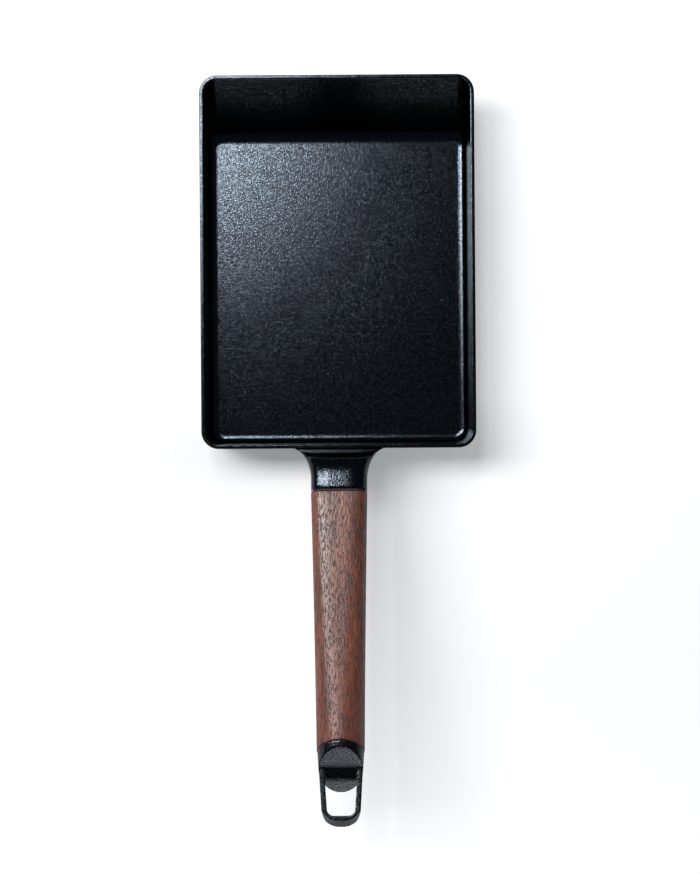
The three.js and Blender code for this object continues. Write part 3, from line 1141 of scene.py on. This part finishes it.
@dataclass
class Studio:
    """The white floor, the soft lights and the camera above the pan.

    Attributes:
        floor_size: The floor's side.
        floor_colour: The floor's own colour.
        floor_glow: The floor's glow to the camera, as pairs of distance and strength. It is painted light:
            weakest along the pan's near side, it lifts the cast shadows further off and clears the floor to
            white.
        floor_middle: Where the distance of the glow is measured from.
        floor_spread: How much each direction counts in that distance.
        camera_place: Where the camera hangs.
        camera_roll: Its turn about its view, in degrees.
        focal_pixels: Its focal length in pixels of the picture.
        frame_height: The picture's height in pixels.
        sensor: The camera's sensor in millimetres.
        main_place: Where the large softbox hangs. The panel and the card have the same three values.
        main_size: Its width and height.
        main_power: Its power in watts.
        room: The dim light of the room all round.
    """

    floor_size: float = 8.0
    floor_colour: tuple[float, float, float, float] = (0.55, 0.55, 0.55, 1.0)
    floor_glow: tuple[tuple[float, float], ...] = (
        (0.005, 0.27),
        (0.04, 0.47),
        (0.125, 0.46),
        (0.225, 0.54),
        (0.5, 0.9),
        (0.8, 1.0),
    )
    floor_middle: tuple[float, float, float] = (-0.03, -0.097, 0.0)
    floor_spread: tuple[float, float, float] = (0.25, 1.0, 1.0)
    camera_place: tuple[float, float, float] = (0.00564, -0.0895, 1.034)
    camera_roll: float = -0.4
    focal_pixels: float = 1968.0
    frame_height: float = 875.0
    sensor: float = 36.0
    main_place: tuple[float, float, float] = (-1.15, 0.45, 1.6)
    main_size: tuple[float, float] = (1.4, 0.6)
    main_power: float = 50.0
    panel_place: tuple[float, float, float] = (-0.23, 0.57, 1.6)
    panel_size: tuple[float, float] = (0.27, 0.72)
    panel_power: float = 10.4
    card_place: tuple[float, float, float] = (0.0, -1.7, 0.215)
    card_size: tuple[float, float] = (1.4, 0.17)
    card_power: float = 3.4
    room: tuple[float, float, float, float] = (0.05, 0.068, 0.092, 1.0)

    def _floor(self) -> None:
        """Lays the plain floor, whose glow to the camera clears it to white away from the pan and paints
        light into the cast shadows, less so along the pan's near side.
        """
        bpy.ops.object.select_all(action="DESELECT")
        bpy.ops.mesh.primitive_plane_add(size=self.floor_size)
        floor = newest("floor")
        material, sheet = NodeSheet.of_material("white_floor")
        seen = sheet.add("ShaderNodeLightPath").outputs["Is Camera Ray"]
        place = sheet.add("ShaderNodeTexCoord").outputs["Object"]
        aside = sheet.add("ShaderNodeVectorMath", {0: place, 1: self.floor_middle}, operation="SUBTRACT")
        wide = sheet.add(
            "ShaderNodeVectorMath", {0: aside.outputs["Vector"], 1: self.floor_spread}, operation="MULTIPLY"
        )
        away = sheet.add(
            "ShaderNodeVectorMath", {0: wide.outputs["Vector"]}, operation="LENGTH"
        ).outputs["Value"]
        # Painted light: the camera-only glow grows with distance from the pan's near side and lightens the
        # shadows of the pan and the handle.
        glow = sheet.add("ShaderNodeValToRGB", {"Fac": away})
        stops = glow.color_ramp.elements
        for number, (distance, strength) in enumerate(self.floor_glow):
            stop = stops[number] if number < len(stops) else stops.new(distance)
            stop.position = distance
            stop.color = (strength, strength, strength, 1.0)
        shader = sheet.add(
            "ShaderNodeBsdfPrincipled",
            {
                "Base Color": self.floor_colour,
                "Roughness": 1.0,
                "Specular IOR Level": 0.0,
                "Emission Color": WHITE,
                "Emission Strength": sheet.math("MULTIPLY", seen, glow.outputs["Color"]),
            },
        )
        sheet.add("ShaderNodeOutputMaterial", {"Surface": shader.outputs["BSDF"]})
        floor.data.materials.append(material)

    def _light(
        self, name: str, place: Sequence[float], size: tuple[float, float], power: float, faces: Vector
    ) -> None:
        """Hangs one soft light.

        Args:
            name: The light's name.
            place: Where it hangs.
            size: Its width and height.
            power: Its power in watts.
            faces: The direction it shines in.
        """
        data = bpy.data.lights.new(name, "AREA")
        data.shape = "RECTANGLE"
        data.size, data.size_y = size
        data.energy = power
        lamp = bpy.data.objects.new(name, data)
        bpy.context.scene.collection.objects.link(lamp)
        lamp.location = place
        lamp.rotation_euler = faces.to_track_quat("-Z", "Y").to_euler()

    def _world(self) -> None:
        """Sets the dim room all round, white to the camera."""
        world = bpy.data.worlds.new("studio")
        bpy.context.scene.world = world
        world.use_nodes = True
        sheet = NodeSheet(world.node_tree)
        world.node_tree.nodes.clear()
        seen = sheet.add("ShaderNodeLightPath").outputs["Is Camera Ray"]
        colour = sheet.blend(seen, self.room, WHITE)
        back = sheet.add("ShaderNodeBackground", {"Color": colour, "Strength": 1.0})
        sheet.add("ShaderNodeOutputWorld", {"Surface": back.outputs["Background"]})

    def _camera(self) -> None:
        """Sets the camera straight above the pan."""
        data = bpy.data.cameras.new("camera")
        data.sensor_width = self.sensor
        data.lens = self.focal_pixels * self.sensor / self.frame_height
        camera = bpy.data.objects.new("camera", data)
        bpy.context.scene.collection.objects.link(camera)
        camera.location = self.camera_place
        camera.rotation_euler = (0.0, 0.0, math.radians(self.camera_roll))
        bpy.context.scene.camera = camera

    def build(self) -> None:
        """Sets up floor, lights, world and camera."""
        bpy.context.scene.view_settings.view_transform = "Standard"
        self._floor()
        down = Vector((0.0, 0.0, -1.0))
        level = Vector((0.0, 1.0, 0.0))
        self._light("main_softbox", self.main_place, self.main_size, self.main_power, down)
        self._light("wide_panel", self.panel_place, self.panel_size, self.panel_power, down)
        self._light("near_card", self.card_place, self.card_size, self.card_power, level)
        self._world()
        self._camera()


PAN_COATING = CastCoating(
    name="pan_coating",
    dark=(0.016, 0.0195, 0.023, 1.0),
    pale=(0.06, 0.071, 0.084, 1.0),
    pebbles=2000.0,
    dust=0.08,
    relief=0.000045,
    gloss=0.12,
    matt=0.16,
)
END_COATING = CastCoating(
    name="end_coating",
    dark=(0.032, 0.034, 0.04, 1.0),
    pale=(0.078, 0.082, 0.092, 1.0),
    pebbles=1500.0,
    dust=0.1,
    relief=0.00006,
    gloss=0.2,
    matt=0.28,
)


def main() -> None:
    """Builds the studio and each sub-assembly in order."""
    logging.basicConfig(level=logging.INFO, format="%(name)s: %(message)s")
    Studio().build()
    handle = HandleLine()
    grain = CastGrain().group()
    casting = PanCasting(handle).build()
    dress(casting, PAN_COATING.material(grain), "pan_coating", "pan_body")
    grip = WalnutGrip(handle).build()
    dress(grip, WalnutFinish().material(), "grip_wood", "wood_grip")
    end = EndPiece(handle).build()
    dress(end, END_COATING.material(grain), "end_coating", "end_loop")
    JointHardware().dress()


if __name__ == "__main__":
    main()
